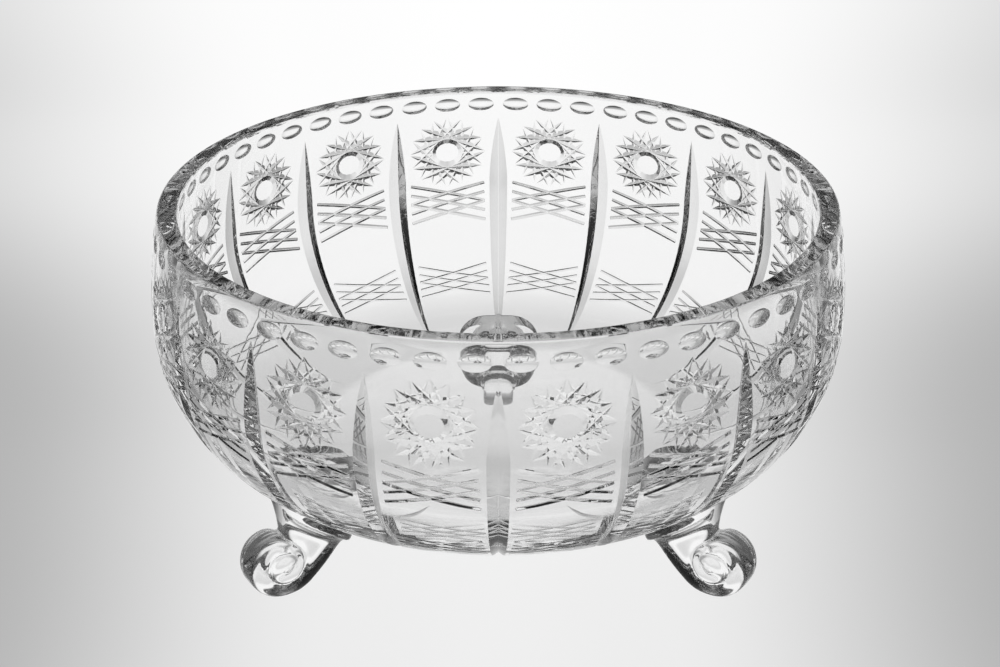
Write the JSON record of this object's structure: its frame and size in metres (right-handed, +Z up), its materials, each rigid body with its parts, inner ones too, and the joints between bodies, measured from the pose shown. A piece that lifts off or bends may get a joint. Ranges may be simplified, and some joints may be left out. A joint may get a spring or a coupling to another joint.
{
  "type": "footed salad bowl",
  "caption": "Round cut-crystal salad bowl with a flat rim, upright grooves and a row of star rosettes round its belly, standing on scroll feet; holds salad or fruit at table.",
  "frame": {"origin": "on the bowl's axis, at the floor that the feet stand on", "axes": "+Z up along the bowl's axis, +Y towards the rear foot, +X to the right in the front view"},
  "size_m": [0.205, 0.205, 0.1115],
  "materials": {
    "crystal": "clear lead crystal, cut and polished"
  },
  "bodies": {
    "root": {"bowl": "crystal", "front_left_foot": "crystal", "front_right_foot": "crystal", "rear_foot": "crystal"}
  },
  "joints": []
}
